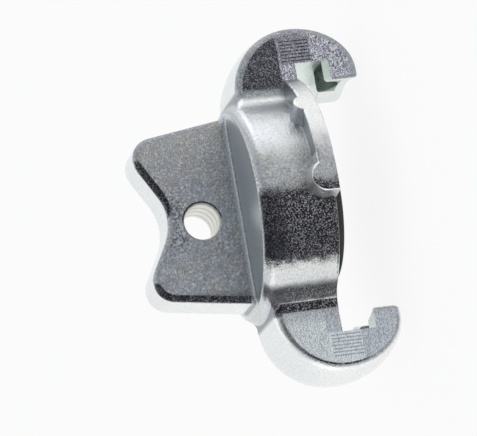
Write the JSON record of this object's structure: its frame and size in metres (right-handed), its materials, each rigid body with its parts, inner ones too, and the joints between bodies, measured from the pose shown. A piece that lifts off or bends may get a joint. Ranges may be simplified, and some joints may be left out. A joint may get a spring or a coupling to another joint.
{
  "type": "blanking claw coupling",
  "caption": "Cast blanking half of a claw hose coupling with hook claws, cam rails, wing grip with chain hole, and a rubber face seal.",
  "frame": {"origin": "on the coupling's axis, in the plane of the claws' lowest ends, which it stands on", "axes": "+Z along the coupling's axis from the sealing side to the wing grip, +X towards one claw, +Y square to the flat sides of the wing grip"},
  "size_m": [0.0652, 0.047, 0.0431],
  "materials": {
    "casting": "bright zinc plate over the grain of the casting",
    "seal": "matt moulded rubber"
  },
  "bodies": {
    "root": {"coupling_body": "casting", "seal_ring": "seal"}
  },
  "joints": []
}
